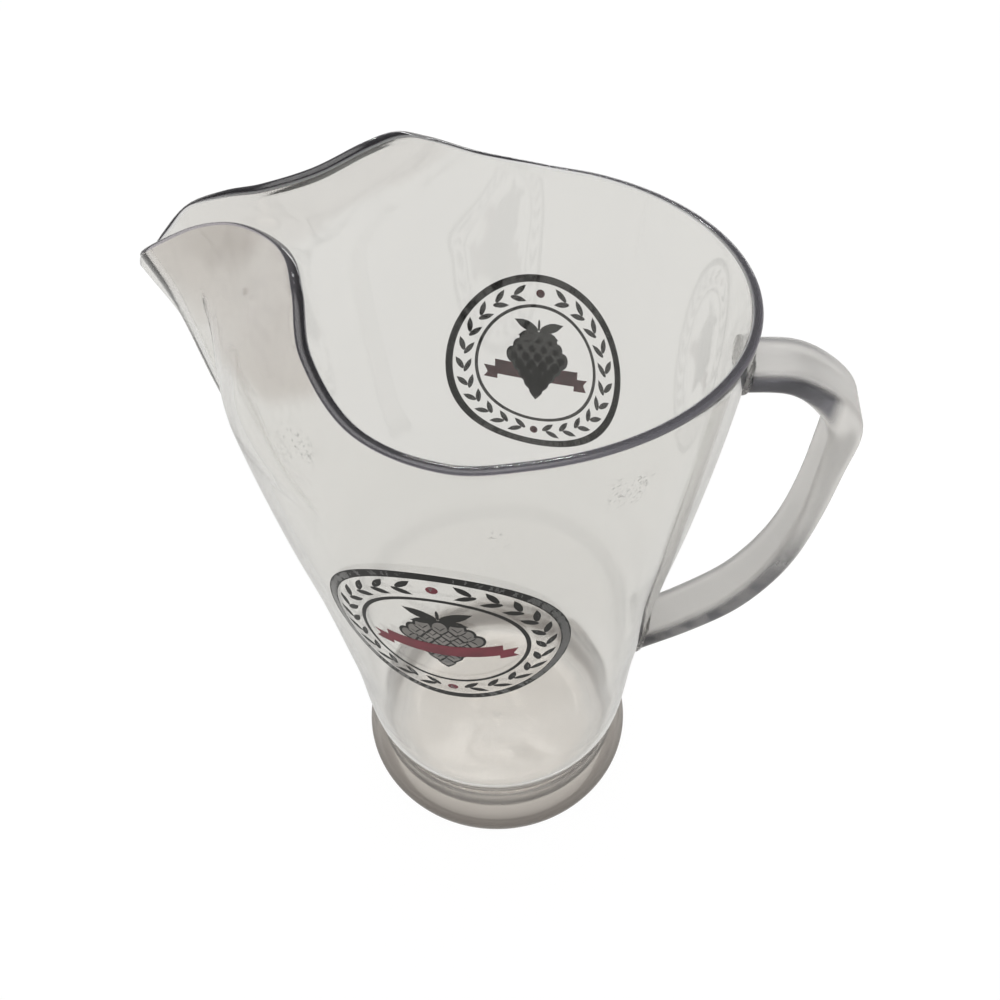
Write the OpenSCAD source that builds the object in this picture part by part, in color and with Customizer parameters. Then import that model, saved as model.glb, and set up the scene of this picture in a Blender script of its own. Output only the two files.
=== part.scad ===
// Clear beer pitcher of 60 US fluid ounces: a thin moulded body with a
// pinched pouring spout, and a solid strap handle welded to its wall.
// Units are millimetres. The origin is the centre of the foot on the
// table, +Z is up, the handle is on +X and the spout is on -X.

/* [Body] */
// Height of the rim on the handle side
rim_h = 205; // [195:1:225]
// Outer diameter of the mouth
mouth_d = 140; // [132:1:148]
// Outer diameter above the waist, where the wall starts to open out
heel_d = 101; // [97:1:106]
// Height at which the wall starts to open out
heel_h = 45; // [38:1:52]
// Outer diameter of the waist above the foot
waist_d = 93; // [88:1:96]
// Height of the lower edge of the waist
waist_h = 16; // [14:1:19]
// Height of the band that forms the waist
waist_band = 7; // [3:1:9]
// Outer diameter of the flared foot
foot_d = 104; // [100:0.2:110]
// Wall thickness
wall = 2.6; // [2:0.1:3.2]
// Distance that the mouth leans towards the spout
mouth_shift = 3.4; // [0:0.1:6]
// Height of the underside of the floor above the table
floor_gap = 2; // [1:0.1:3]
// Radius of the hollow corner between the floor and the wall
floor_fillet = 11; // [8:0.5:12]
// Height of the rounding along the rim
rim_round = 0.9; // [0.3:0.1:1.4]

/* [Spout] */
// Reach of the spout past the round of the mouth
spout_reach = 22.4; // [14:0.2:30]
// Distance that the rim is pinched in on each side of the spout
pinch_depth = 20; // [12:0.5:21]
// Rise of the two ears beside the spout above the rim
ear_rise = 19.8; // [8:0.2:26]
// Height at which the spout starts to grow out of the wall
spout_base_h = 90; // [70:1:110]
// Height of the pinched dent below the top of the ears
dent_h = 42; // [30:1:60]

/* [Handle] */
// Width of the strap across the handle
strap_w = 18.8; // [14:0.2:24]
// Thickness of the strap
strap_t = 6.2; // [5.2:0.1:8]
// Extra thickness inside the strap's upper bend
bend_t = 2.4; // [0:0.2:3]
// Radius of the strap's rounded edges
strap_round = 2; // [0.6:0.1:2.6]
// Gap for the fingers between the strap and the top of the wall
finger_gap = 25; // [20:0.2:32]
// Height of the middle of the upper joint
handle_top_h = 188; // [180:1:192]
// Rise of the strap above its upper joint
handle_crown = 0.6; // [0:0.2:4]
// Height of the middle of the lower joint
handle_low_h = 75; // [64:1:84]
// Thickness of the weld between the wall and the strap
weld_t = 0.8; // [0.5:0.1:1.5]
// Width of the bead that the weld shows around the strap
weld_bead = 1.1; // [0.5:0.1:1.6]
// Clearance between the weld and the wall that it sits on
weld_seat = 0.15; // [0.1:0.05:0.3]

/* [Hidden] */

mouth_r = mouth_d / 2;
heel_r = heel_d / 2;
waist_r = waist_d / 2;
foot_r = foot_d / 2;
waist_top_h = waist_h + waist_band;
floor_top = floor_gap + wall;
ear_h = rim_h + ear_rise;

// Outline of the foot: height share of the waist, then share of the flare
foot_shares = [[0, 0.53], [0.16, 0.86], [0.38, 1], [0.69, 0.68], [1, 0]];
// From the waist to the heel: height share, then share of the widening
heel_shares = [[0, 0], [0.45, 0.74], [1, 1]];
// From the heel to the mouth: height share, then share of the widening
bell_shares = [[0, 0], [0.11, 0.06], [0.25, 0.2], [0.42, 0.39], [0.62, 0.66],
    [0.82, 0.87], [1, 1]];
// Growth of the spout from its base to the rim: height share, then share
keel_shares = [[0, 0], [0.17, 0.03], [0.34, 0.2], [0.5, 0.42], [0.67, 0.6],
    [0.83, 0.67], [1, 1]];
// Rounding across the rim: share of half the wall, then of rim_round
rim_shares = [[1, 0], [0.86, 0.7], [0.45, 1], [-0.45, 1], [-0.86, 0.7], [-1, 0]];

// The rim beside the spout, each row at an angle from the tip: its push
// out, a share of spout_reach; its shift back and its draw in, shares of
// pinch_depth; its rise, a share of ear_rise. Rows past the tip mirror.
lip_angles = [-6, 0, 6, 12, 18, 25, 34, 44, 55, 66, 80, 96, 110];
push_shares = [0.8, 1, 0.8, 0.6, 0.15, 0, 0, 0, 0, 0, 0, 0, 0];
back_shares = [0, 0, 0, 0, 0, 0.22, 0.55, 0.68, 0.48, 0.17, 0, 0, 0];
draw_shares = [-0.06, 0, 0.06, 0.15, 0.59, 0.95, 1.05, 0.93, 0.78, 0.46, 0.14, 0, 0];
rise_shares = [0.12, -0.17, 0.12, 0.39, 0.66, 0.78, 0.88, 1, 0.94, 0.62, 0.2, 0, 0];
// Angles between which the tongue of the spout gives way to the dent
tongue_a = 9;
dent_a = 26;
// Power of the curve by which the dent deepens towards the rim
dent_power = 2.3;
// Angle steps round the body, fine beside the spout and plain behind it
lip_step = 4;
back_step = 6;
fine_to = 96;

// Share between a and b, and a share held between 0 and 1
function mix(a, b, t) = a + (b - a) * t;
function held(t) = max(0, min(1, t));
function eased(t) = t * t * (3 - 2 * t);

// Curve through the points of two lists: each slope is the mean of its
// neighbours, and is level where the values turn
function slope(xs, ys, k) =
    k == 0 ? (ys[1] - ys[0]) / (xs[1] - xs[0])
    : k == len(xs) - 1 ? (ys[k] - ys[k - 1]) / (xs[k] - xs[k - 1])
    : (ys[k + 1] - ys[k - 1]) / (xs[k + 1] - xs[k - 1]);
function calm(xs, ys, k) =
    let (a = k == 0 ? 0 : (ys[k] - ys[k - 1]) / (xs[k] - xs[k - 1]),
        b = k == len(xs) - 1 ? 0 : (ys[k + 1] - ys[k]) / (xs[k + 1] - xs[k]))
    k == 0 ? b : k == len(xs) - 1 ? a : a * b <= 0 ? 0 : 2 * a * b / (a + b);
function span(xs, x, k = 0) =
    k >= len(xs) - 2 || x < xs[k + 1] ? k : span(xs, x, k + 1);
function hermite(h, t, y0, y1, m0, m1) =
    (2 * pow(t, 3) - 3 * t * t + 1) * y0 + (pow(t, 3) - 2 * t * t + t) * h * m0
    + (3 * t * t - 2 * pow(t, 3)) * y1 + (pow(t, 3) - t * t) * h * m1;
function through(xs, ys, x) =
    let (k = span(xs, x), h = xs[k + 1] - xs[k], t = held((x - xs[k]) / h))
    hermite(h, t, ys[k], ys[k + 1], slope(xs, ys, k), slope(xs, ys, k + 1));
function share_at(table_shares, x) =
    let (xs = [for (p = table_shares) p[0]], ys = [for (p = table_shares) p[1]],
        k = span(xs, x), h = xs[k + 1] - xs[k], t = held((x - xs[k]) / h))
    hermite(h, t, ys[k], ys[k + 1], calm(xs, ys, k), calm(xs, ys, k + 1));

// Outer radius of the round body at a height, which runs on above the rim
function body_r(z) =
    z < waist_h ? mix(waist_r, foot_r, share_at(foot_shares, z / waist_h))
    : z < waist_top_h ? waist_r
    : z < heel_h ? mix(waist_r, heel_r,
        share_at(heel_shares, (z - waist_top_h) / (heel_h - waist_top_h)))
    : mix(heel_r, mouth_r,
        share_at(bell_shares, (min(z, rim_h) - heel_h) / (rim_h - heel_h)));
// Lean of the round section's centre towards the spout at a height
function lean(z) =
    mouth_shift * held((z - waist_top_h) / (rim_h - waist_top_h));
// The wall's outer face on the handle's side, at a distance off it
function wall_x(y, z, off) = sqrt(pow(body_r(z) + off, 2) - y * y) - lean(z);

// Displacement of the rim at an angle from the tip, positive or negative
function lip(list_shares, a) = abs(a) >= lip_angles[len(lip_angles) - 1] ? 0
    : through(lip_angles, list_shares, abs(a));
function rim_z(a) = rim_h - rim_round + ear_rise * lip(rise_shares, a);
// Middle of the wall at an angle, at a height share from the spout's base
// to the rim: the round section, drawn by the tongue or by the dent
function tongue(a) = 1 - eased(held((abs(a) - tongue_a) / (dent_a - tongue_a)));
function dent(v) =
    pow(held(1 - (1 - v) * (ear_h - spout_base_h) / dent_h), dent_power);
function upper_point(a, v) =
    let (z = mix(spout_base_h, rim_z(a), v),
        r = body_r(z) - wall / 2,
        w = mix(dent(v), share_at(keel_shares, v), tongue(a)),
        push = spout_reach * lip(push_shares, a) - pinch_depth * lip(back_shares, a),
        draw = pinch_depth * lip(draw_shares, a) * sign(a))
    [-lean(z) - r * cos(a) - push * w, r * sin(a) - draw * w, z];
function lower_point(a, z) =
    let (r = body_r(z) - wall / 2) [-lean(z) - r * cos(a), r * sin(a), z];

// Angles of one ring, from the handle's side round the spout and back
half_turn = concat([for (a = [0:lip_step:fine_to]) a],
    [for (a = [fine_to + back_step:back_step:180]) a]);
turn = concat([for (k = [len(half_turn) - 2:-1:1]) -half_turn[k]], half_turn);

// A ring moved sideways by a distance, square to its own course
function moved(ring, off, up = 0) = [for (k = [0:len(ring) - 1])
    let (n = len(ring), p = ring[(k + 1) % n], q = ring[(k + n - 1) % n],
        d = [p[0] - q[0], p[1] - q[1]])
    ring[k] + [-d[1], d[0], 0] * off / norm(d) + [0, 0, up]];
function round_ring(r, z) = [for (a = turn) [-r * cos(a), r * sin(a), z]];

// Middle rings of the wall, from the waist up
upper_rows = 13;
mid_rings = concat(
    [for (k = [0:6]) let (z = mix(waist_top_h, heel_h, k / 6))
        [for (a = turn) lower_point(a, z)]],
    [for (k = [1:4]) let (z = mix(heel_h, spout_base_h, k / 4))
        [for (a = turn) lower_point(a, z)]],
    [for (k = [1:upper_rows]) [for (a = turn) upper_point(a, k / upper_rows)]]);

// Corner between floor and wall: its centre, and the groove under the foot
corner_r = waist_r - wall - floor_fillet;
corner_z = floor_top + floor_fillet;
groove_a = 79;
under_rings = [for (k = [0:5]) let (a = groove_a * k / 5)
    round_ring(corner_r + (floor_fillet + wall) * sin(a),
        corner_z - (floor_fillet + wall) * cos(a))];
skirt_shares = [0.66, 0.38, 0.16, 0];
skirt_rings = [for (s = skirt_shares)
    round_ring(body_r(s * waist_h) - wall, s * waist_h)];
foot_row_shares = [0, 0.07, 0.16, 0.27, 0.38, 0.53, 0.69, 0.85, 1];
foot_rings = [for (s = foot_row_shares)
    round_ring(body_r(s * waist_h), s * waist_h)];
corner_rings = [for (k = [0:6]) let (a = 90 - 90 * k / 6)
    round_ring(corner_r + floor_fillet * sin(a), corner_z - floor_fillet * cos(a))];

last = len(mid_rings) - 1;
body_rings = concat(under_rings, skirt_rings, foot_rings,
    [for (r = mid_rings) moved(r, wall / 2)],
    [for (s = [for (k = [1:len(rim_shares) - 2]) rim_shares[k]])
        moved(mid_rings[last], s[0] * wall / 2, s[1] * rim_round)],
    [for (k = [last:-1:0]) moved(mid_rings[k], -wall / 2)],
    corner_rings);

// A solid from rings that run from one end point to another
module ringed(rings, first, last) {
    n = len(rings[0]);
    m = len(rings);
    points = concat([first], [for (r = rings) each r], [last]);
    sides = [for (j = [0:m - 2]) for (k = [0:n - 1])
        let (a = 1 + j * n + k, b = 1 + j * n + (k + 1) % n)
        each [[a, b, a + n], [b, b + n, a + n]]];
    ends = [for (k = [0:n - 1]) each [[0, 1 + (k + 1) % n, 1 + k],
        [m * n + 1, (m - 1) * n + 1 + k, (m - 1) * n + 1 + (k + 1) % n]]];
    polyhedron(points, concat(sides, ends), convexity = 10);
}

// Course of the strap from the upper joint to the lower one: shares of the
// way from the wall to the grip, of the height between the joints, and of
// the crown
gap_shares = [0, 0.5, 0.985, 0.98, 0.93, 0.83, 0.61, 0.32, 0];
height_shares = [1, 1, 0.918, 0.77, 0.59, 0.42, 0.25, 0.12, 0];
crown_shares = [0, 1, 0, 0, 0, 0, 0, 0, 0];
// Where the strap is thicker inside its upper bend: a share of bend_t
bend_shares = [0, 0.25, 1, 0.3, 0, 0, 0, 0, 0];
knots = [for (k = [0:len(gap_shares) - 1]) k];
strap_rows = 34;
strap_from = 0.03;
strap_to = 0.96;
corner_steps = 3;
broad_shares = [0.5, 0, -0.5];
strap_out = wall_x(0, handle_top_h, 0) + finger_gap + strap_t / 2;
weld_top = weld_seat + weld_t;

function course(u) =
    let (k = u * (len(knots) - 1),
        z = mix(handle_low_h, handle_top_h, through(knots, height_shares, k))
            + handle_crown * through(knots, crown_shares, k))
    [mix(wall_x(0, z, 0), strap_out, through(knots, gap_shares, k)), 0, z];
function heading(u) = let (d = course(u + eps_share) - course(u - eps_share)) d / norm(d);
eps_share = 0.004;

// Rounded section of the strap, thickness then width: four corners, each
// side one with points along the broad face that comes after it
function corner(q) = let (sx = q == 0 || q == 3 ? 1 : -1, sy = q < 2 ? 1 : -1)
    [for (s = [0:corner_steps]) let (a = 90 * (q + s / corner_steps))
        [sx * (strap_t / 2 - strap_round) + strap_round * cos(a),
            sy * (strap_w / 2 - strap_round) + strap_round * sin(a)]];
function broad_face(sx, sy) = [for (s = broad_shares)
    [sx * strap_t / 2, sy * s * (strap_w / 2 - strap_round)]];
section = concat(corner(0), corner(1), broad_face(-1, 1), corner(2), corner(3),
    broad_face(1, -1));
function strap_ring(u) = let (t = heading(u), up = [-t[2], 0, t[0]],
        bend = bend_t * through(knots, bend_shares, u * (len(knots) - 1)))
    [for (p = section) course(u) + up * (p[0] < 0 ? p[0] - bend : p[0]) + [0, p[1], 0]];

// A point slid along a heading until it is at a distance off the wall
function seated(p, t, off, tries = 6) = tries == 0 ? p
    : seated(p + t * (wall_x(p[1], p[2], off) - p[0]) / t[0], t, off, tries - 1);
// Face that follows the wall, as rings from its middle outwards
face_shares = [0.4, 0.75, 1];
function seat_rings(u, off, grow = 0) = let (t = heading(u), c = course(u))
    [for (s = face_shares) [for (p = strap_ring(u))
        seated(c + (p - c) * (1 + grow / norm(p - c)) * s, t, off)]];
function seat_middle(u, off) = seated(course(u), heading(u), off);
function backwards(rings) = [for (k = [len(rings) - 1:-1:0]) rings[k]];

module pitcher_body() {
    color([0.84, 0.84, 0.82, 0.35])
        ringed(body_rings, [0, 0, floor_gap], [0, 0, floor_top]);
}

module handle() {
    color([0.78, 0.77, 0.76, 0.5])
        ringed(concat(seat_rings(strap_from, weld_top),
            [for (k = [0:strap_rows]) strap_ring(mix(strap_from, strap_to, k / strap_rows))],
            backwards(seat_rings(strap_to, weld_top))),
            seat_middle(strap_from, weld_top), seat_middle(strap_to, weld_top));
}

// A bead of weld where the strap leaves the wall, and where it returns
module upper_handle_weld() {
    u = strap_from;
    color([0.7, 0.7, 0.72, 0.6])
        ringed(concat(seat_rings(u, weld_seat, weld_bead),
            backwards(seat_rings(u, weld_top))),
            seat_middle(u, weld_seat), seat_middle(u, weld_top));
}

module lower_handle_weld() {
    u = strap_to;
    color([0.7, 0.7, 0.72, 0.6])
        ringed(concat(seat_rings(u, weld_top),
            backwards(seat_rings(u, weld_seat, weld_bead))),
            seat_middle(u, weld_top), seat_middle(u, weld_seat));
}

pitcher_body();
handle();
upper_handle_weld();
lower_handle_weld();
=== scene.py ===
"""A clear plastic beer pitcher: moulded body, strap handle, two welds and two printed badges."""
import math
from bisect import bisect_right

import bmesh
import bpy
from bpy.props import FloatProperty, FloatVectorProperty, IntProperty, PointerProperty
from mathutils import Matrix, Vector, noise


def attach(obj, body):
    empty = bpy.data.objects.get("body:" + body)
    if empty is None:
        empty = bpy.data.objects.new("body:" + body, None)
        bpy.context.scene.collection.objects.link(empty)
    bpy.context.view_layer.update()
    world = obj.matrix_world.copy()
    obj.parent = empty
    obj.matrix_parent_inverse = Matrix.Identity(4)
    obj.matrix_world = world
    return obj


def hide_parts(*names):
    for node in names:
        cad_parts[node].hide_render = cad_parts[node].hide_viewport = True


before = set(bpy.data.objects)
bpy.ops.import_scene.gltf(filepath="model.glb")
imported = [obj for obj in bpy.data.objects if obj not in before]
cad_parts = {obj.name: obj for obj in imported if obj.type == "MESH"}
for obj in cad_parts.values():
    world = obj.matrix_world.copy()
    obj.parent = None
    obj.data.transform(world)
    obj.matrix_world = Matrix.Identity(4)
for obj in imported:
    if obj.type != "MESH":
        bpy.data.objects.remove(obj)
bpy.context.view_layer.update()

bl_info = {
    "name": "Beer Pitcher",
    "version": (1, 0, 0),
    "blender": (4, 5, 0),
    "location": "3D View > Sidebar > Pitcher",
    "description": "Makes a clear plastic beer pitcher with a welded strap handle and printed badges",
    "category": "Add Mesh",
}

INK_LAYER = 0.000003


# Sizes and colours that a user would change

def length(name, default, description):
    """A length in metres."""
    return FloatProperty(name=name, default=default, description=description, unit="LENGTH", precision=4)


def share(name, default, description):
    """A part of one."""
    return FloatProperty(name=name, default=default, description=description,
                         subtype="FACTOR", min=0, max=1)


def turn(name, degrees, description):
    """An angle, given in degrees."""
    return FloatProperty(name=name, default=math.radians(degrees), description=description,
                         subtype="ANGLE")


def colour(name, default, description):
    """A colour in linear red, green and blue."""
    return FloatVectorProperty(name=name, default=default, description=description,
                               subtype="COLOR", min=0, max=1)


class PITCHER_PG_body(bpy.types.PropertyGroup):
    """Sizes of the moulded body."""

    rim_height: length("Rim height", 0.205, "Height of the rim on the handle side")
    mouth_width: length("Mouth width", 0.13993, "Outer diameter of the mouth")
    heel_width: length("Heel width", 0.101, "Outer diameter where the wall starts to open out")
    heel_height: length("Heel height", 0.045, "Height at which the wall starts to open out")
    waist_width: length("Waist width", 0.093, "Outer diameter of the waist above the foot")
    waist_height: length("Waist height", 0.016, "Height of the lower edge of the waist")
    waist_band: length("Waist band", 0.007, "Height of the band that forms the waist")
    foot_width: length("Foot width", 0.104, "Outer diameter of the flared foot")
    wall: length("Wall", 0.0026, "Thickness of the wall")
    mouth_shift: length("Mouth shift", 0.0034, "Distance that the mouth leans towards the spout")
    floor_gap: length("Floor gap", 0.002, "Height of the underside of the floor above the table")
    floor_fillet: length("Floor fillet", 0.011, "Radius of the hollow corner between floor and wall")
    rim_round: length("Rim rounding", 0.0009, "Height of the rounding along the rim")
    turn_steps: IntProperty(name="Steps", default=288, min=48, description="Steps of the body's spin")


class PITCHER_PG_spout(bpy.types.PropertyGroup):
    """Sizes of the pinched spout and its two ears."""

    reach: length("Reach", 0.0224, "Reach of the spout past the round of the mouth")
    pinch: length("Pinch", 0.020, "Distance that the rim is pinched in beside the spout")
    ear_rise: length("Ear rise", 0.01965, "Rise of the two ears above the rim")
    base_height: length("Base height", 0.090, "Height at which the spout grows out of the wall")
    dent_height: length("Dent height", 0.042, "Height of the pinched dent below the ears")


class PITCHER_PG_handle(bpy.types.PropertyGroup):
    """Sizes of the strap handle and its welds."""

    width: length("Width", 0.0188, "Width across the strap")
    thickness: length("Thickness", 0.0062, "Thickness of the strap")
    bend_thickness: length("Bend thickness", 0.0024, "Extra thickness inside the upper bend")
    edge_round: length("Edge rounding", 0.0027, "Radius of the strap's rounded edges")
    finger_gap: length("Finger gap", 0.025, "Gap between the strap and the top of the wall")
    top_height: length("Top joint", 0.188, "Height of the middle of the upper joint")
    low_height: length("Low joint", 0.075, "Height of the middle of the lower joint")
    crown: length("Crown", 0.0006, "Rise of the strap above its upper joint")
    weld_seat: length("Weld seat", 0.00015, "Clearance between a weld and the wall")
    weld_thickness: length("Weld thickness", 0.0008, "Thickness of the weld under the strap's end")
    weld_bead: length("Weld bead", 0.0011, "Width of the bead that shows round the strap")


class PITCHER_PG_badge(bpy.types.PropertyGroup):
    """Sizes and inks of the printed badges."""

    radius: length("Radius", 0.0337, "Outer radius of a badge")
    height: length("Height", 0.1359, "Height of a badge's centre above the table")
    ring: length("Ring", 0.0027, "Width of the outer ring's line")
    line: length("Line", 0.0012, "Width of the inner ring's line")
    near_turn: turn("Near turn", 0.3, "Turn of the near badge towards the handle")
    far_turn: turn("Far turn", 5.8, "Turn of the far badge towards the handle")
    black: colour("Black ink", (0.007, 0.007, 0.006), "Ink of the rings and the ears of barley")
    grey: colour("Grey ink", (0.17, 0.16, 0.15), "Ink of the hop cone")
    red: colour("Red ink", (0.13, 0.02, 0.03), "Ink of the ribbon")


class PITCHER_PG_finish(bpy.types.PropertyGroup):
    """Look of the clear plastic."""

    body_tint: colour("Body tint", (0.965, 0.96, 0.945), "Colour that one crossing of the wall leaves")
    strap_tint: colour("Strap tint", (0.985, 0.97, 0.95), "Colour that one crossing of the strap leaves")
    # Painted shade on the cheeks beside the spout
    cheek_shade: colour("Cheek tint", (0.80, 0.765, 0.735), "Colour of the cheeks beside the spout")
    # Painted shadow along the low edge of the foot
    foot_shadow_tint: colour("Foot tint", (0.19, 0.16, 0.138), "Colour of the low edge of the foot")
    # Painted warm cast of the table seen through the floor and the foot
    seen_table_tint: colour("Floor tint", (0.95, 0.895, 0.835), "Colour of the moulded floor")
    # Painted shade on the rounded rim
    rim_shade_tint: colour("Rim tint", (0.68, 0.65, 0.76), "Colour of the rounded rim")
    # Painted shade on the strap's edges
    strap_edge_shade: colour("Edge tint", (0.07, 0.07, 0.088), "Colour of the strap's dark edges")
    body_roughness: share("Body roughness", 0.026, "Roughness of the moulded faces")
    strap_roughness: share("Strap roughness", 0.20, "Roughness of the strap")
    strap_haze: share("Strap haze", 0.58, "Milkiness of the strap")
    foot_haze: share("Foot haze", 0.36, "Milkiness of the foot")


class PITCHER_PG_stage(bpy.types.PropertyGroup):
    """Camera and light."""

    azimuth: turn("Azimuth", 11.168, "Camera's turn round the pitcher from the front")
    elevation: turn("Elevation", 45.424, "Camera's height above the horizon")
    distance: length("Distance", 0.26902, "Camera's distance from its target")
    target_height: length("Target height", 0.12667, "Height of the camera's target")
    pan: turn("Pan", 0.355, "Camera's turn off its target")
    tilt: turn("Tilt", 0.061, "Camera's tilt off its target")
    roll: turn("Roll", -0.73, "Camera's roll")
    lens: FloatProperty(name="Lens", default=30.72, unit="CAMERA",
                        description="Focal length on a sensor 36 mm wide")
    floor_colour: colour("Floor", (0.80, 0.79, 0.77), "Colour of the floor where the light falls on it")
    backdrop: colour("Backdrop", (0.76, 0.755, 0.735), "Colour of the floor as the plastic shows it")


# Curves through a few points

class Curve:
    """A smooth curve through points. A calm one is level where its values turn."""

    def __init__(self, xs, ys, calm=False):
        self.xs, self.ys, self.last = xs, ys, len(xs) - 1
        steps = [(ys[k + 1] - ys[k]) / (xs[k + 1] - xs[k]) for k in range(self.last)]
        self.slopes = [self.slope(k, steps, calm) for k in range(self.last + 1)]

    def slope(self, k, steps, calm):
        """Slope at a point, from the steps on both sides of it."""
        if k in (0, self.last):
            return steps[0 if k == 0 else -1]
        before, after = steps[k - 1], steps[k]
        if not calm:
            return (self.ys[k + 1] - self.ys[k - 1]) / (self.xs[k + 1] - self.xs[k - 1])
        return 0 if before * after <= 0 else 2 * before * after / (before + after)

    def __call__(self, x):
        k = min(max(bisect_right(self.xs, x) - 1, 0), self.last - 1)
        h = self.xs[k + 1] - self.xs[k]
        t = min(max((x - self.xs[k]) / h, 0), 1)
        return ((2 * t**3 - 3 * t * t + 1) * self.ys[k] + (t**3 - 2 * t * t + t) * h * self.slopes[k]
                + (3 * t * t - 2 * t**3) * self.ys[k + 1] + (t**3 - t * t) * h * self.slopes[k + 1])


def mix(a, b, t):
    return a + (b - a) * t


def held(t):
    return min(max(t, 0), 1)


def eased(t):
    return t * t * (3 - 2 * t)


FOOT = Curve([0, 0.16, 0.38, 0.69, 1], [0.53, 0.86, 1, 0.68, 0], calm=True)
HEEL = Curve([0, 0.45, 1], [0, 0.74, 1], calm=True)
BELL = Curve([0, 0.11, 0.25, 0.42, 0.62, 0.82, 1], [0, 0.06, 0.2, 0.39, 0.66, 0.87, 1], calm=True)
KEEL = Curve([0, 0.17, 0.34, 0.5, 0.67, 0.83, 1], [0, 0.03, 0.2, 0.42, 0.6, 0.67, 1], calm=True)

# The rim beside the spout at angles from its tip, in degrees: its push out,
# its shift back, its draw in and its rise, as shares of the spout's sizes
LIP_ANGLES = [-6, 0, 6, 12, 18, 25, 34, 44, 55, 66, 80, 96, 110]
PUSH = Curve(LIP_ANGLES, [0.8, 1, 0.8, 0.6, 0.15, 0, 0, 0, 0, 0, 0, 0, 0])
BACK = Curve(LIP_ANGLES, [0, 0, 0, 0, 0, 0.22, 0.55, 0.68, 0.48, 0.17, 0, 0, 0])
DRAW = Curve(LIP_ANGLES, [-0.06, 0, 0.06, 0.15, 0.59, 0.95, 1.05, 0.93, 0.78, 0.46, 0.14, 0, 0])
RISE = Curve(LIP_ANGLES, [0.12, -0.17, 0.12, 0.39, 0.66, 0.78, 0.88, 1, 0.94, 0.62, 0.2, 0, 0])

# Angles between which the tongue turns into the dent, low down and at the rim, the share of the
# way up from which it narrows, and how steeply the dent starts
TONGUE_ANGLES = (9, 4)
DENT_ANGLES = (26, 15)
NARROW_SHARE = 0.76
DENT_POWER = 2

# The cheek with painted shade: its low edge by angle, as a share of the way from the spout's base to the
# rim, how softly that edge starts, and the angle at which the cheek ends and over how many degrees
CHEEK_LOW = Curve([0, 13, 27, 50, 57, 63, 74], [0.82, 0.82, 0.80, 0.83, 0.85, 0.90, 1], calm=True)
CHEEK_SOFTNESS = 0.024
CHEEK_END = 69
CHEEK_FADE = 6

# Where the wall's thickness turns from level to square with the wall, and over how far,
# as shares of the way from the spout's base to the rim
SQUARE_FROM = 0.1
SQUARE_OVER = 0.3

# Course of the strap, from the upper joint to the lower one
KNOTS = [0, 1, 2, 3, 4, 5, 6, 7, 8]
STRAP_GAP = Curve(KNOTS, [0, 0.5, 0.985, 0.98, 0.93, 0.83, 0.61, 0.32, 0])
STRAP_HEIGHT = Curve(KNOTS, [1, 1, 0.918, 0.77, 0.59, 0.42, 0.25, 0.12, 0])
STRAP_CROWN = Curve(KNOTS, [0, 1, 0, 0, 0, 0, 0, 0, 0])
STRAP_BEND = Curve(KNOTS, [0, 0.25, 1, 0.3, 0, 0, 0, 0, 0])

# Stretch over which the course is evened out and where the strap starts and ends, as shares of it
SMOOTH_REACH = 0.05
STRAP_FROM = 0.03
STRAP_TO = 0.96
STRAP_ROWS = 110
WELD_ROWS = 6

# Unevenness of a weld's bead: scale and depth of each layer
BEAD_NOISE = ((900, 0.45), (2500, 0.2))


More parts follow.
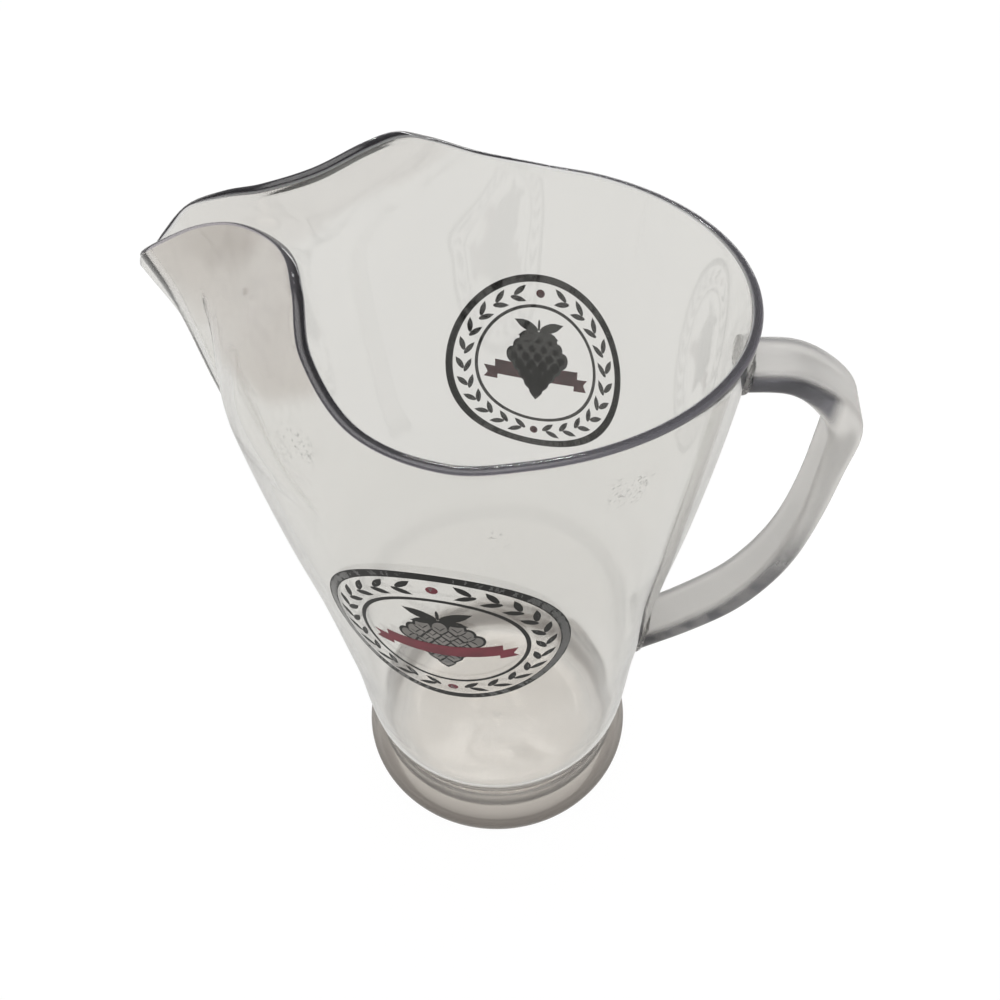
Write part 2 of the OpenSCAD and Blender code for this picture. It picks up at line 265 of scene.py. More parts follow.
class WallShape:
    """The moulded wall, by height and by angle from the spout's tip in degrees."""

    def __init__(self, body, spout):
        self.b, self.s = body, spout
        self.waist_top = body.waist_height + body.waist_band
        self.ear_height = body.rim_height + spout.ear_rise

    def radius(self, z):
        """Outer radius of the round body at a height."""
        b = self.b
        waist, heel, mouth = b.waist_width / 2, b.heel_width / 2, b.mouth_width / 2
        if z < b.waist_height:
            return mix(waist, b.foot_width / 2, FOOT(z / b.waist_height))
        if z < self.waist_top:
            return waist
        if z < b.heel_height:
            return mix(waist, heel, HEEL((z - self.waist_top) / (b.heel_height - self.waist_top)))
        opening = (min(z, b.rim_height) - b.heel_height) / (b.rim_height - b.heel_height)
        return mix(heel, mouth, BELL(opening))

    def lean(self, z):
        """Lean of the section's centre towards the spout at a height."""
        return self.b.mouth_shift * held((z - self.waist_top) / (self.b.rim_height - self.waist_top))

    def rim(self, angle):
        """Height of the wall's end, below the rounding of the rim."""
        off = abs(angle)
        rise = RISE(off) if off < LIP_ANGLES[-1] else 0
        return self.b.rim_height - self.b.rim_round + self.s.ear_rise * rise

    def dent(self, v):
        """Share of the pinch at a share of the way from the spout's base to the rim."""
        depth = (1 - v) * (self.ear_height - self.s.base_height) / self.s.dent_height
        return held(1 - depth) ** DENT_POWER

    def tongue(self, off, v):
        """Share of the spout's tongue at an angle from its tip, where it isn't yet the dent."""
        t = eased(held((v - NARROW_SHARE) / (1 - NARROW_SHARE)))
        start, end = mix(*TONGUE_ANGLES, t), mix(*DENT_ANGLES, t)
        return 1 - eased(held((off - start) / (end - start)))

    def cheek(self, off, v):
        """Share of painted shade on the pinched cheek, inside the U of its lower edge."""
        low = held((v - CHEEK_LOW(off)) / CHEEK_SOFTNESS)
        end = held((off - CHEEK_END) / CHEEK_FADE)
        return (1 - self.tongue(off, v)) * eased(low) * (1 - eased(end))

    def middle(self, angle, v):
        """Middle of the wall above the spout's base."""
        off = abs(angle)
        z = mix(self.s.base_height, self.rim(angle), v)
        a = math.radians(angle)
        r = self.radius(z) - self.b.wall / 2
        x, y = -self.lean(z) - r * math.cos(a), r * math.sin(a)
        if off < LIP_ANGLES[-1]:
            w = mix(self.dent(v), KEEL(v), self.tongue(off, v))
            x -= w * (self.s.reach * PUSH(off) - self.s.pinch * BACK(off))
            y -= w * self.s.pinch * DRAW(off) * math.copysign(1, angle)
        return Vector((x, y, z))

    def frame_at(self, angle, v):
        """Direction out of the wall and direction up along it."""
        course = self.middle(angle + 0.4, v) - self.middle(angle - 0.4, v)
        up = (self.middle(angle, v + 0.004) - self.middle(angle, v - 0.004)).normalized()
        out = up.cross(course).normalized()
        level = Vector((-course.y, course.x, 0)).normalized()
        out = level.lerp(out, eased(held((v - SQUARE_FROM) / SQUARE_OVER))).normalized()
        return out, up

    def face(self, angle, z, off=0.0):
        """Point on the outer face at an angle and a height, a distance off it."""
        if z < self.s.base_height:
            a = math.radians(angle)
            r = self.radius(z) + off
            return Vector((-self.lean(z) - r * math.cos(a), r * math.sin(a), z))
        v = (z - self.s.base_height) / (self.rim(angle) - self.s.base_height)
        return self.middle(angle, v) + self.frame_at(angle, v)[0] * (self.b.wall / 2 + off)

    def handle_face(self, y, z, off):
        """The face's place along X on the handle's side."""
        return math.sqrt((self.radius(z) + off) ** 2 - y * y) - self.lean(z)


# Shaping with bmesh

def new_piece(bm, name, *materials, sharp=40):
    """An object from a bmesh, with smooth faces and sharp creases."""
    mesh = bpy.data.meshes.new(name)
    bm.to_mesh(mesh)
    bm.free()
    mesh.shade_smooth()
    mesh.set_sharp_from_angle(angle=math.radians(sharp))
    for material in materials:
        mesh.materials.append(material)
    piece = bpy.data.objects.new(name, mesh)
    bpy.context.scene.collection.objects.link(piece)
    return piece


def faces_out(bm, merge=0.0):
    """Merges doubles and turns every face of a closed shape outwards."""
    if merge:
        bmesh.ops.remove_doubles(bm, verts=bm.verts, dist=merge)
    bmesh.ops.recalc_face_normals(bm, faces=bm.faces)
    if bm.calc_volume(signed=True) < 0:
        bmesh.ops.reverse_faces(bm, faces=bm.faces)


def body_outline(shape):
    """Outline of the moulding before the spout is drawn, from under the floor up the outside,
    over the rim and down the inside: radius, height, share of the way up, side and lift."""
    b = shape.b
    floor_top = b.floor_gap + b.wall
    corner_r = b.waist_width / 2 - b.wall - b.floor_fillet
    corner_z = floor_top + b.floor_fillet
    gate_r, gate_h = 0.0016, 0.0003
    groove_height = 0.66 * b.waist_height
    rows, rim_steps, rim_square = 44, 14, 0.8
    points = []

    def put(r, z, v=-1.0, side=0.0, lift=0.0):
        points.append((r, z, v, side, lift))

    def arc(radius, start, stop, steps):
        for k in range(steps + 1):
            a = math.radians(mix(start, stop, k / steps))
            put(corner_r + radius * math.sin(a), corner_z - radius * math.cos(a))

    for r, drop in ((0, 1), (0.6, 1), (0.9, 0.7), (1, 0.1), (1.15, 0)):
        put(gate_r * r, b.floor_gap - gate_h * drop)
    put(corner_r / 2, b.floor_gap)
    arc(b.floor_fillet + b.wall, 0, 79, 12)
    for k in range(8, -1, -1):
        z = groove_height * k / 8
        put(shape.radius(z) - b.wall, z)
    for k in range(21):
        z = b.waist_height * k / 20
        put(shape.radius(z), z)
    heights = ([mix(b.waist_height, shape.waist_top, k / 3) for k in range(1, 4)]
               + [mix(shape.waist_top, b.heel_height, k / 12) for k in range(1, 13)]
               + [mix(b.heel_height, shape.s.base_height, k / 10) for k in range(1, 10)])
    for side in (1, -1):
        low = [(z, -1.0) for z in (heights if side > 0 else [shape.waist_top] + heights[3:])]
        high = [(mix(shape.s.base_height, b.rim_height - b.rim_round, k / rows), k / rows)
                for k in range(rows + 1)]
        for z, v in (low + high if side > 0 else reversed(low + high)):
            put(shape.radius(z) - (0 if side > 0 else b.wall), z, v, side if v >= 0 else 0)
        if side > 0:
            for k in range(1, rim_steps):
                a = math.pi * k / rim_steps
                over, up = math.cos(a), math.sin(a)
                side = math.copysign(abs(over) ** rim_square, over)
                put(shape.radius(b.rim_height) - b.wall / 2 * (1 - side), b.rim_height,
                    1.0, side, up ** rim_square)
    arc(b.floor_fillet, 90, 0, 12)
    put(corner_r / 2, floor_top)
    put(0, floor_top)
    return points


def make_body(shape, material):
    """Spins the outline, then draws the spout out of the round wall."""
    bm = bmesh.new()
    layers = [bm.verts.layers.float.new(name) for name in ("share", "side", "lift")]
    cheek_shade_of = bm.verts.layers.float.new("pinch")
    line = []
    for r, z, *facts in body_outline(shape):
        line.append(bm.verts.new((-r, 0, z)))
        for layer, fact in zip(layers, facts):
            line[-1][layer] = fact
    edges = [bm.edges.new(pair) for pair in zip(line, line[1:])]
    bmesh.ops.spin(bm, geom=line + edges, cent=(0, 0, 0), axis=(0, 0, 1), angle=math.tau,
                   steps=shape.b.turn_steps, use_merge=True, use_duplicate=False)
    faces_out(bm, merge=1e-7)
    share_of, side_of, lift_of = layers
    for vert in bm.verts:
        if vert[share_of] < 0:
            vert.co.x -= shape.lean(vert.co.z)
            continue
        angle = math.degrees(math.atan2(vert.co.y, -vert.co.x))
        out, up = shape.frame_at(angle, vert[share_of])
        # The cheek's share of painted shade, kept in the pinch attribute
        vert[cheek_shade_of] = shape.cheek(abs(angle), vert[share_of])
        vert.co = (shape.middle(angle, vert[share_of]) + out * vert[side_of] * shape.b.wall / 2
                   + up * vert[lift_of] * shape.b.rim_round)
    piece = new_piece(bm, "moulded_body", material)
    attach(piece, "root")
    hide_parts("pitcher_body")


class StrapShape:
    """The course of the strap and its joints."""

    def __init__(self, wall, sizes):
        self.wall, self.h = wall, sizes
        self.out = wall.handle_face(0, sizes.top_height, 0) + sizes.finger_gap + sizes.thickness / 2

    def knotted(self, u):
        k = u * KNOTS[-1]
        z = mix(self.h.low_height, self.h.top_height, STRAP_HEIGHT(k)) + self.h.crown * STRAP_CROWN(k)
        return Vector((mix(self.wall.handle_face(0, z, 0), self.out, STRAP_GAP(k)), 0, z))

    def course(self, u):
        """Middle of the strap, evened out over a short stretch so that its bends flow."""
        reach = min(SMOOTH_REACH, u, 1 - u)
        spots = [mix(-1, 1, k / 8) for k in range(9)]
        weights = [1.04 - s * s for s in spots]
        total = Vector((0, 0, 0))
        for spot, weight in zip(spots, weights):
            total += self.knotted(u + spot * reach) * weight
        return total / sum(weights)

    def heading(self, u):
        return (self.course(u + 0.004) - self.course(u - 0.004)).normalized()

    def place(self, u, thick, across):
        """Point of the strap at a share of its course, by its place in the section."""
        heading = self.heading(u)
        if thick < 0:
            inside = min(-2 * thick / self.h.thickness, 1)
            thick -= self.h.bend_thickness * STRAP_BEND(u * KNOTS[-1]) * inside
        return self.course(u) + Vector((-heading.z, 0, heading.x)) * thick + Vector((0, across, 0))

    def seated(self, point, heading, off):
        """The point slid along the strap until it lies off the wall by a distance."""
        point = point.copy()
        for _ in range(8):
            point += heading * (self.wall.handle_face(point.y, point.z, off) - point.x) / heading.x
        return point


def only(geometry, kind):
    """The vertices, edges or faces among what a bmesh operator made."""
    return [item for item in geometry if isinstance(item, kind)]


def bar(width, thickness, edge_round, rows):
    """A straight bar one unit long with rounded edges, cut into strips across its width."""
    bm = bmesh.new()
    made = bmesh.ops.create_grid(bm, x_segments=1, y_segments=1, size=0.5)
    bmesh.ops.scale(bm, vec=(thickness, width, 1), verts=made["verts"])
    bmesh.ops.bevel(bm, geom=bm.verts[:], offset=edge_round, offset_type="OFFSET", affect="VERTICES",
                    segments=6, profile=0.5, material=-1)
    for k in range(-3, 4):
        bmesh.ops.bisect_plane(bm, geom=bm.verts[:] + bm.edges[:] + bm.faces[:], dist=1e-7,
                               plane_co=(0, k * (width / 2 - edge_round) / 3.5, 0), plane_no=(0, 1, 0))
    bmesh.ops.bisect_plane(bm, geom=bm.verts[:] + bm.edges[:] + bm.faces[:], dist=1e-7,
                           plane_co=(0, 0, 0), plane_no=(1, 0, 0))
    edge = [e for e in bm.edges if e.is_boundary]
    far_end = bmesh.ops.duplicate(bm, geom=bm.verts[:] + bm.edges[:] + bm.faces[:])["geom"]
    bmesh.ops.translate(bm, vec=(0, 0, 1), verts=only(far_end, bmesh.types.BMVert))
    for _ in range(rows):
        made = bmesh.ops.extrude_edge_only(bm, edges=edge)["geom"]
        bmesh.ops.translate(bm, vec=(0, 0, 1 / rows), verts=only(made, bmesh.types.BMVert))
        edge = only(made, bmesh.types.BMEdge)
    bmesh.ops.remove_doubles(bm, verts=bm.verts, dist=1e-5)
    return bm


def make_handle(strap, material):
    """Bends a straight bar along the strap's course and seats its ends."""
    h = strap.h
    bm = bar(h.width, h.thickness, h.edge_round, STRAP_ROWS)
    for vert in bm.verts:
        thick, across, along = vert.co
        u = mix(STRAP_FROM, STRAP_TO, along)
        point = strap.place(u, thick, across)
        if along < 1e-4 or along > 1 - 1e-4:
            point = strap.seated(point, strap.heading(u), h.weld_seat + h.weld_thickness)
        vert.co = point
    faces_out(bm)
    piece = new_piece(bm, "strap_handle", material)
    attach(piece, "root")
    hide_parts("handle")


def make_weld(strap, u, name, node, material):
    """A bead of melted plastic round the strap's end, uneven along its edge."""
    h = strap.h
    bm = bar(h.width, h.thickness, h.edge_round, WELD_ROWS)
    heading = strap.heading(u)
    centre = strap.course(u)
    for vert in bm.verts:
        thick, across, up = vert.co
        point = strap.place(u, thick, across)
        outward = (point - centre).normalized()
        edge = max(abs(across) / (h.width / 2), abs(thick) / (h.thickness / 2))
        rough = sum(noise.noise(point * scale) * depth for scale, depth in BEAD_NOISE)
        bulge = math.sqrt(max(1 - (up * 1.02 - 0.02) ** 2, 0)) * (1 + rough) * held(edge)
        grown = point + outward * h.weld_bead * bulge * held((edge - 0.55) / 0.45)
        swell = 1 + 0.9 * held((edge - 0.7) / 0.3) * (1 + rough)
        off = mix(h.weld_seat, h.weld_seat + h.weld_thickness * swell, up)
        vert.co = strap.seated(grown, heading, off)
    faces_out(bm)
    piece = new_piece(bm, name, material)
    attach(piece, "root")
    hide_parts(node)


# Badges: flat drawings made of circles, wrapped on the wall

# Inks by their place among a badge's materials, and layers of ink counted from the wall
BLACK, GREY, RED = range(3)
LEAF_LAYER, FOLD_LAYER, RIBBON_LAYER = 17, 19, 20

# Parts of the ribbon: left and right end, drop and half its height, as shares of the radius
RIBBON_PARTS = ((-0.46, 0.46, 0.0, 0.085), (-0.58, -0.43, 0.07, 0.07), (0.43, 0.58, 0.07, 0.07))


def disc(bm, place, size, ink, segments=16, turn=0.0, point=0.0, level=1):
    """An oval drawn at a place, turned, and drawn out to a point at its far end."""
    verts = bmesh.ops.create_circle(bm, cap_ends=True, segments=segments, radius=1)["verts"]
    for vert in verts:
        t = held(vert.co.y)
        vert.co.x *= size[0] * (1 - point * t * t)
        vert.co.y *= size[1]
    bmesh.ops.rotate(bm, verts=verts, cent=(0, 0, 0), matrix=Matrix.Rotation(turn, 3, "Z"))
    bmesh.ops.translate(bm, verts=verts, vec=(place[0], place[1], level * INK_LAYER))
    for face in {f for v in verts for f in v.link_faces}:
        face.material_index = ink


def ring(bm, outer, inner, ink, segments=160):
    """A flat ring round the badge's centre."""
    edges = []
    for radius in (outer, inner):
        verts = bmesh.ops.create_circle(bm, cap_ends=False, segments=segments, radius=radius)["verts"]
        edges += list({e for v in verts for e in v.link_edges})
    for face in bmesh.ops.bridge_loops(bm, edges=edges)["faces"]:
        face.material_index = ink


def wreath(bm, radius, low, high):
    """Barley grains that climb both sides of the badge, in the band between its rings."""
    grains = 11
    reach = radius * (low + high) / 2
    for side in (-1, 1):
        for k in range(grains):
            a = math.radians(mix(-76, 74, k / (grains - 1)))
            stalk = Vector((math.cos(a) * side, math.sin(a)))
            climb = Vector((-math.sin(a) * side, math.cos(a)))
            for lean in (-1, 1):
                heading = climb + stalk * (0.55 * lean)
                spot = stalk * (reach + lean * 0.045 * radius) + climb * (0.02 * radius * lean)
                disc(bm, spot, (0.030 * radius, 0.085 * radius), BLACK,
                     turn=math.atan2(-heading.x, heading.y), point=0.9)
    for y in (-reach, reach):
        disc(bm, (0, y), [0.045 * radius] * 2, RED, segments=24)


def hop(bm, radius):
    """A hop cone of overlapping scales under two leaves."""
    counts = (3, 4, 5, 4, 3, 2, 1)
    for row, count in enumerate(counts):
        y = radius * mix(0.26, -0.30, row / (len(counts) - 1))
        level = 2 * (len(counts) - row)
        for k in range(count):
            x = (k - (count - 1) / 2) * 0.128 * radius
            for grow, ink in ((1.0, BLACK), (0.74, GREY)):
                disc(bm, (x, y), (0.078 * radius * grow, 0.118 * radius * grow), ink, segments=20,
                     turn=math.pi - 1.3 * x / radius, point=0.85, level=level + ink)
    disc(bm, (0, radius * 0.45), (0.014 * radius, 0.07 * radius), BLACK, segments=8)
    for side in (-1, 1):
        for tilt, size in ((1.15, 1.0), (1.85, 0.8)):
            heading = Vector((math.sin(tilt) * side, math.cos(tilt)))
            disc(bm, Vector((0, 0.38 * radius)) + heading * 0.15 * radius * size,
                 (0.052 * radius * size, 0.14 * radius * size), BLACK,
                 turn=-tilt * side, point=0.95, level=LEAF_LAYER)


def ribbon(bm, radius):
    """A plain ribbon across the hop cone, with a folded end on each side."""
    for part, (left, right, drop, height) in enumerate(RIBBON_PARTS):
        columns = 4 if part else 24
        made = bmesh.ops.create_grid(bm, x_segments=columns, y_segments=2, size=1)["verts"]
        for vert in made:
            x, y = mix(left, right, (vert.co.x + 1) / 2), vert.co.y
            if part and abs(x) > 0.575:
                x -= math.copysign(0.05 * (1 - abs(y)), x)
            vert.co.x = x * radius
            vert.co.y = (-0.06 + y * height - 0.22 * (0.2 - x * x) - drop) * radius
            vert.co.z = (FOLD_LAYER if part else RIBBON_LAYER) * INK_LAYER
        for face in {f for v in made for f in v.link_faces}:
            face.material_index = RED


def make_badge(shape, sizes, name, centre_angle, inks):
    """Draws a badge flat, then wraps it on the outside of the wall."""
    bm = bmesh.new()
    radius = sizes.radius
    inner = 0.68
    ring(bm, radius, radius - sizes.ring, BLACK)
    ring(bm, radius * inner, radius * inner - sizes.line, BLACK)
    wreath(bm, radius, inner, 1 - sizes.ring / radius)
    hop(bm, radius)
    ribbon(bm, radius)
    bmesh.ops.triangulate(bm, faces=bm.faces[:])
    slope = (shape.radius(sizes.height + 0.01) - shape.radius(sizes.height - 0.01)) / 0.02
    rise = 1 / math.sqrt(1 + slope * slope)
    for vert in bm.verts:
        z = sizes.height + vert.co.y * rise
        angle = centre_angle - math.degrees(vert.co.x / shape.radius(z))
        vert.co = shape.face(angle, z, INK_LAYER + vert.co.z)
    piece = new_piece(bm, name, *inks)
    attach(piece, "root")


# Materials

class Value:
    """A number in a node tree, which Python's operators combine through Math nodes."""

    def __init__(self, nodes, socket):
        self.nodes, self.socket = nodes, socket

    def math(self, operation, *items):
        sockets = dict(enumerate(items))
        return self.nodes.value("Math", {"operation": operation}, sockets)

    def __add__(self, other):
        return self.math("ADD", self, other)

    def __sub__(self, other):
        return self.math("SUBTRACT", self, other)

    def __rsub__(self, other):
        return self.math("SUBTRACT", other, self)

    def __mul__(self, other):
        return self.math("MULTIPLY", self, other)

    def __pow__(self, other):
        return self.math("POWER", self, other)

    __radd__ = __add__
    __rmul__ = __mul__

    def above(self, low, high):
        """Nought below low and one above high, with a smooth step between."""
        return self.nodes.value("MapRange", {"interpolation_type": "SMOOTHSTEP"},
                                {0: self, 1: low, 2: high})


class Nodes:
    """Adds nodes to a tree by type, settings and sockets."""

    def __init__(self, tree):
        self.tree = tree
        tree.nodes.clear()

    def add(self, kind, settings=None, sockets=None, out=0):
        """A new node's output, with its settings made first. Several names give several outputs."""
        node = self.tree.nodes.new("ShaderNode" + kind)
        for key, value in (settings or {}).items():
            setattr(node, key, value)
        for key, item in (sockets or {}).items():
            if isinstance(item, Value):
                item = item.socket
            if isinstance(item, bpy.types.NodeSocket):
                self.tree.links.new(item, node.inputs[key])
            else:
                node.inputs[key].default_value = item
        if isinstance(out, tuple):
            return [Value(self, node.outputs[key]) for key in out]
        return node.outputs[out] if node.outputs else node

    def value(self, *args, **kwargs):
        return Value(self, self.add(*args, **kwargs))

    def blend(self, factor, a, b):
        """One colour turning into another."""
        return self.add("Mix", {"data_type": "RGBA"}, {0: factor, 6: a, 7: b}, out=2)


def rgb(colour_value, scale=1.0):
    return (*[c * scale for c in colour_value], 1)


def new_material(name):
    material = bpy.data.materials.new(name)
    material.use_nodes = True
    return material, Nodes(material.node_tree)


PLASTIC_IOR = 1.57
WELD_HAZE = 0.15
WELD_ROUGHNESS = 0.16
SCUFF_SHADE = (0.30, 0.28, 0.26, 1)

# Middle and reach of the scuffed places on the wall
SCUFFS = (
    ((-0.0316, -0.0602, 0.1980), 0.0080),
    ((0.0140, -0.0660, 0.1820), 0.0060),
    ((0.0405, -0.0532, 0.1908), 0.0085),
)


def clear_plastic(name, tint, roughness, dress):
    """Clear moulded plastic with faint flow marks. The dress gives its shade, haze and scuffs."""
    material, nodes = new_material(name)
    spot = nodes.add("TexCoord", out="Object")
    clouds = nodes.value("TexNoise", None, {"Vector": spot, "Scale": 22, "Detail": 2})
    flow = nodes.value("TexNoise", None, {"Vector": spot, "Scale": 60, "Detail": 1})
    shade = nodes.blend(clouds.above(0.3, 0.8), rgb(tint), rgb(tint, 0.985))
    shade, haze, scuff = dress(nodes, spot, shade)
    relief = flow * 0.6 + scuff * 0.12
    bump = nodes.add("Bump", None, {"Strength": 0.05, "Distance": 0.0004, "Height": relief})
    clear = nodes.add("BsdfPrincipled", None, {
        "Base Color": shade, "Roughness": scuff * 0.25 + clouds * 0.02 + roughness,
        "IOR": PLASTIC_IOR, "Transmission Weight": 0.97, "Normal": bump})
    hazy = nodes.add("BsdfPrincipled", None, {
        "Base Color": shade, "Roughness": 0.5,
        "IOR": PLASTIC_IOR, "Transmission Weight": 0.66, "Normal": bump})
    plastic = nodes.add("MixShader", None, {0: haze, 1: clear, 2: hazy})
    nodes.add("OutputMaterial", None, {"Surface": plastic})
    return material


def scuffs(nodes, spot):
    """Fine worn specks in the scuffed places, and nought elsewhere."""
    fine = nodes.value("TexNoise", None, {"Vector": spot, "Scale": 1100, "Detail": 3})
    patches = nodes.value("TexNoise", None, {"Vector": spot, "Scale": 210, "Detail": 2})
    near = 0
    for middle, reach in SCUFFS:
        away = nodes.value("VectorMath", {"operation": "DISTANCE"}, {0: spot, 1: middle}, out=1)
        near = near + (1 - away.above(reach * 0.3, reach))
    return near * patches.above(0.47, 0.60) * fine.above(0.53, 0.64)


def body_dress(look):
    """Dress of the moulded body: a painted warm cast of the table seen through the floor and foot, a
    milky foot with painted shadow on its low edge, painted shade on the cheeks and the rim, and a
    painted highlight along the rim's inner edge.
    """
    def dress(nodes, spot, shade):
        x, y, height = nodes.add("SeparateXYZ", None, {0: spot}, out=(0, 1, 2))
        lift, pinch, side = [nodes.value("Attribute", {"attribute_name": name}, out="Fac")
                             for name in ("lift", "pinch", "side")]
        radius = (x * x + y * y) ** 0.5
        # on_floor and on_foot carry a painted warm cast of the table seen through the base; on_foot also
        # sets the foot's haze
        on_floor = (1 - radius.above(0.034, 0.044)) * (1 - height.above(0.006, 0.020))
        on_foot = radius.above(0.036, 0.044) * (1 - height.above(0.014, 0.027))
        # Painted shadow: a dark brown band on the foot's lowest outer edge, where it stands on the table
        painted_foot_shadow = radius.above(0.0435, 0.0475) * (1 - height.above(0.003, 0.017))
        # Painted shade on the cheeks, from the pinch attribute, weaker on the far side (y > 0)
        cheek = pinch * (1 - y.above(-0.008, 0.008) * 0.7)
        # Painted shade on the rounded rim, with a purple cast, darker still towards the spout
        rim = lift.above(0.05, 0.4)
        spout_rim_shade = rim * (1 - x.above(-0.035, 0.015)) * 0.6
        # Painted highlight: a white, hazy line along the inner edge of the rim's rounding
        rim_highlight = lift.above(0.02, 0.1) * (1 - side.above(-0.95, -0.55))
        rim_haze = side.above(-0.3, 0.9) * 0.22 + x.above(-0.02, 0.03) * 0.12
        scuff = scuffs(nodes, spot)
        for share_of, shade_of in (
                (scuff * 0.55, SCUFF_SHADE),
                (on_floor, rgb(look.seen_table_tint)),
                (on_foot, rgb(look.seen_table_tint)),
                (painted_foot_shadow, rgb(look.foot_shadow_tint)),
                (cheek, rgb(look.cheek_shade)),
                (rim, rgb(look.rim_shade_tint)),
                (spout_rim_shade, rgb(look.rim_shade_tint, 0.45)),
                (rim_highlight, (1, 1, 1, 1))):
            shade = nodes.blend(share_of, shade, shade_of)
        haze = on_foot * look.foot_haze + rim * rim_haze + rim_highlight * 0.75 + scuff * 0.25
        return shade, haze, scuff
    return dress


def strap_dress(look):
    """Dress of the strap: milky, with painted shade on its edges at its upper joint and along its low
    part.
    """
    def dress(nodes, spot, shade):
        x, y, height = nodes.add("SeparateXYZ", None, {0: spot}, out=(0, 1, 2))
        clouds = nodes.value("TexNoise", None, {"Vector": spot, "Scale": 130, "Detail": 2})
        # Painted shade on the strap's two side faces, near its upper joint and, patchy, along its low
        # part; shaded parts get no haze
        edge = y.math("ABSOLUTE", y).above(0.0078, 0.0092)
        upper = height.above(0.166, 0.176) * (1 - x.above(0.0865, 0.0905))
        lower = (1 - height.above(0.112, 0.146)) * (0.74 + clouds.above(0.35, 0.65) * 0.26)
        dark = edge * (upper + lower)
        shade = nodes.blend(dark, shade, rgb(look.strap_edge_shade))
        return shade, look.strap_haze * (1 - dark), 0
    return dress


def weld_dress(nodes, spot, shade):
    """Dress of the welds: melted plastic, a little milky."""
    lumps = nodes.value("TexNoise", None, {"Vector": spot, "Scale": 700, "Detail": 2})
    return shade, WELD_HAZE, lumps.above(0.5, 0.7)


def ink(name, tint):
    """Printed ink, a little uneven and worn in specks."""
    material, nodes = new_material(name)
    spot = nodes.add("TexCoord", out="Object")
    clouds = nodes.value("TexNoise", None, {"Vector": spot, "Scale": 160, "Detail": 2})
    specks = nodes.value("TexNoise", None, {"Vector": spot, "Scale": 1400, "Detail": 2})
    shade = nodes.blend(clouds.above(0.3, 0.7), rgb(tint), rgb(tint, 1.5))
    shader = nodes.add("BsdfPrincipled", None, {
        "Base Color": shade, "Roughness": clouds * 0.15 + 0.35, "Specular IOR Level": 0.2,
        "Alpha": 1 - specks.above(0.73, 0.77) * 0.6})
    nodes.add("OutputMaterial", None, {"Surface": shader})
    return material


# Stage

# White of the floor, and its share in what the camera sees, where the rest keeps the shadow
FLOOR_WHITE = 1.025
WHITE_SHARE = 0.95

# Lamps: name, place, target, size, power in watts and shape
LAMPS = (
    ("back_strip", (-0.16, 0.90, 1.08), (0, 0, 0.15), (0.30, 0.03), 1.2, "RECTANGLE"),
    ("window", (0, 1.25, 0.46), (0, 0, 0.02), (1.1, 0.12), 1.7, "RECTANGLE"),
    ("ceiling_lamp", (-0.102, 0.515, 0.945), (0, 0, 0), (0.17, 0.035), 0.05, "ELLIPSE"),
)


def make_camera(s):
    """A camera at the photograph's viewing angle."""
    az, el = s.azimuth, s.elevation
    back = Vector((math.sin(az) * math.cos(el), -math.cos(az) * math.cos(el), math.sin(el)))
    place = Vector((0, 0, s.target_height)) + back * s.distance
    right = (-back).cross(Vector((0, 0, 1))).normalized()
    up = right.cross(-back)
    axes = Matrix((right, up, back)).transposed().to_4x4()
    turns = (Matrix.Rotation(-s.pan, 4, "Y") @ Matrix.Rotation(s.roll, 4, "Z")
             @ Matrix.Rotation(s.tilt, 4, "X"))
    data = bpy.data.cameras.new("camera")
    data.lens = s.lens
    data.sensor_width = 36
    data.clip_start = 0.01
    camera = bpy.data.objects.new("camera", data)
    camera.matrix_world = Matrix.Translation(place) @ axes @ turns
    bpy.context.scene.collection.objects.link(camera)
    bpy.context.scene.camera = camera


def make_lamp(name, place, target, size, power, shape):
    """A softbox that looks at a target."""
    data = bpy.data.lights.new(name, "AREA")
    data.shape = shape
    data.size, data.size_y = size
    data.energy = power
    lamp = bpy.data.objects.new(name, data)
    lamp.location = place
    lamp.rotation_euler = (Vector(target) - Vector(place)).to_track_quat("-Z", "Y").to_euler()
    bpy.context.scene.collection.objects.link(lamp)


def light_paths(nodes):
    """Whether a ray comes straight from the camera, and whether it comes through or off the plastic."""
    seen, glossy, through = nodes.add(
        "LightPath", out=("Is Camera Ray", "Is Glossy Ray", "Is Transmission Ray"))
    return seen, glossy.math("MAXIMUM", glossy, through)


def make_floor(s):
    """A round pale floor: white to the camera, and the studio's grey through the plastic."""
    bm = bmesh.new()
    bmesh.ops.create_circle(bm, cap_ends=True, segments=96, radius=3)
    material, nodes = new_material("studio_floor")
    seen, clear = light_paths(nodes)
    matt = nodes.add("BsdfDiffuse", None, {"Color": rgb(s.floor_colour)})
    white = nodes.add("Emission", None, {"Color": (1, 1, 1, 1), "Strength": FLOOR_WHITE})
    grey = nodes.add("Emission", None, {"Color": rgb(s.backdrop), "Strength": 1.0})
    lit = nodes.add("MixShader", None, {0: clear * 0.8, 1: matt, 2: grey})
    surface = nodes.add("MixShader", None, {0: seen * WHITE_SHARE, 1: lit, 2: white})
    nodes.add("OutputMaterial", None, {"Surface": surface})
    floor = new_piece(bm, "studio_floor", material)


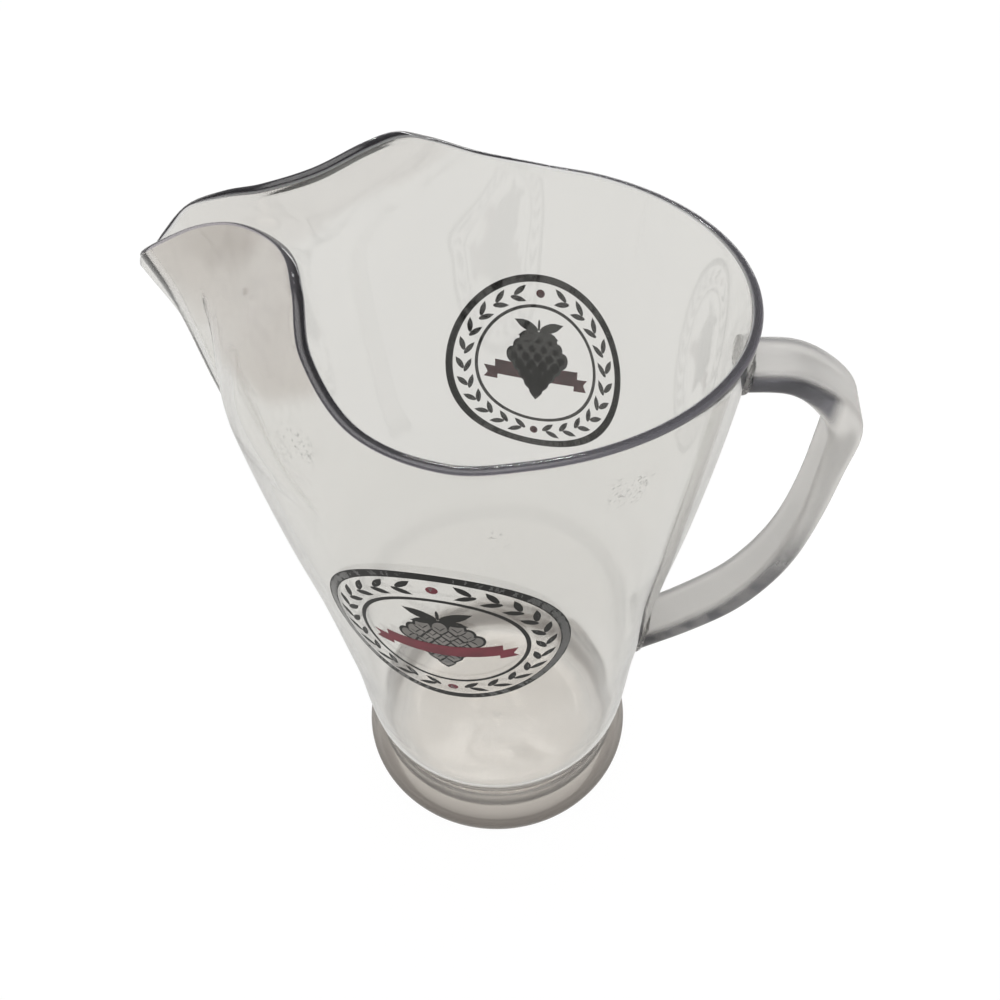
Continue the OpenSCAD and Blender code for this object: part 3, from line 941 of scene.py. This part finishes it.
def make_world(s):
    """White to the camera, even light for matt surfaces, and round the plastic a room
    that is pale low down and dark higher up."""
    world = bpy.data.worlds.new("studio")
    bpy.context.scene.world = world
    world.use_nodes = True
    nodes = Nodes(world.node_tree)
    seen, clear = light_paths(nodes)
    heading = nodes.add("TexCoord", out="Generated")
    height = nodes.value("SeparateXYZ", None, {0: heading}, out="Z")
    level = 0.735 - height.above(0.02, 0.30) * 0.60 + height.above(0.86, 0.98) * 2.5
    even = nodes.add("Background", None, {"Color": (1, 1, 1, 1), "Strength": 0.9})
    room = nodes.add("Background", None, {"Color": (1, 0.99, 0.98, 1), "Strength": level})
    white = nodes.add("Background", None, {"Color": (1, 1, 1, 1), "Strength": 1})
    lit = nodes.add("MixShader", None, {0: clear, 1: even, 2: room})
    surface = nodes.add("MixShader", None, {0: seen, 1: lit, 2: white})
    nodes.add("OutputWorld", None, {"Surface": surface})


# Operators

def sizes():
    """The wall's shape from the scene's settings."""
    scene = bpy.context.scene
    return WallShape(scene.pitcher_body, scene.pitcher_spout)


class PITCHER_OT_body(bpy.types.Operator):
    """Make the moulded body with its pinched spout"""

    bl_idname = "pitcher.body"
    bl_label = "Moulded body"

    def execute(self, context):
        look = context.scene.pitcher_finish
        plastic = clear_plastic("moulded_plastic", look.body_tint, look.body_roughness,
                                body_dress(look))
        make_body(sizes(), plastic)
        return {"FINISHED"}


class PITCHER_OT_handle(bpy.types.Operator):
    """Make the strap handle and its two welds"""

    bl_idname = "pitcher.handle"
    bl_label = "Strap handle and welds"

    def execute(self, context):
        look = context.scene.pitcher_finish
        strap = StrapShape(sizes(), context.scene.pitcher_handle)
        plastic = clear_plastic("strap_plastic", look.strap_tint, look.strap_roughness,
                                strap_dress(look))
        make_handle(strap, plastic)
        weld = clear_plastic("welded_plastic", look.strap_tint, WELD_ROUGHNESS, weld_dress)
        make_weld(strap, STRAP_FROM, "upper_weld", "upper_handle_weld", weld)
        make_weld(strap, STRAP_TO, "lower_weld", "lower_handle_weld", weld)
        return {"FINISHED"}


class PITCHER_OT_badges(bpy.types.Operator):
    """Print a badge on each side"""

    bl_idname = "pitcher.badges"
    bl_label = "Printed badges"

    def execute(self, context):
        b = context.scene.pitcher_badge
        inks = [ink("black_ink", b.black), ink("grey_ink", b.grey), ink("red_ink", b.red)]
        make_badge(sizes(), b, "near_badge", -90 - math.degrees(b.near_turn), inks)
        make_badge(sizes(), b, "far_badge", 90 + math.degrees(b.far_turn), inks)
        return {"FINISHED"}


class PITCHER_OT_stage(bpy.types.Operator):
    """Set up the camera, the floor, the room and the lamps"""

    bl_idname = "pitcher.stage"
    bl_label = "Stage"

    def execute(self, context):
        make_camera(context.scene.pitcher_stage)
        make_floor(context.scene.pitcher_stage)
        make_world(context.scene.pitcher_stage)
        for lamp in LAMPS:
            make_lamp(*lamp)
        context.scene.view_settings.view_transform = "Standard"
        return {"FINISHED"}


class PITCHER_PT_panel(bpy.types.Panel):
    """Lists the pitcher's pieces"""

    bl_label = "Beer Pitcher"
    bl_space_type = "VIEW_3D"
    bl_region_type = "UI"
    bl_category = "Pitcher"

    def draw(self, context):
        for operator in OPERATORS:
            self.layout.operator(operator.bl_idname)
        for name, group in GROUPS.items():
            box = self.layout.box()
            box.label(text=name.replace("pitcher_", "").capitalize())
            for key in group.__annotations__:
                box.prop(getattr(context.scene, name), key)


OPERATORS = (PITCHER_OT_stage, PITCHER_OT_body, PITCHER_OT_handle, PITCHER_OT_badges)
GROUPS = {
    "pitcher_body": PITCHER_PG_body,
    "pitcher_spout": PITCHER_PG_spout,
    "pitcher_handle": PITCHER_PG_handle,
    "pitcher_badge": PITCHER_PG_badge,
    "pitcher_finish": PITCHER_PG_finish,
    "pitcher_stage": PITCHER_PG_stage,
}
CLASSES = (*GROUPS.values(), *OPERATORS, PITCHER_PT_panel)


def register():
    for cls in CLASSES:
        bpy.utils.register_class(cls)
    for name, group in GROUPS.items():
        setattr(bpy.types.Scene, name, PointerProperty(type=group))


def unregister():
    for name in GROUPS:
        delattr(bpy.types.Scene, name)
    for cls in reversed(CLASSES):
        bpy.utils.unregister_class(cls)


def main():
    """Makes every piece."""
    register()
    for operator in OPERATORS:
        family, name = operator.bl_idname.split(".")
        getattr(getattr(bpy.ops, family), name)()


if __name__ == "__main__":
    main()
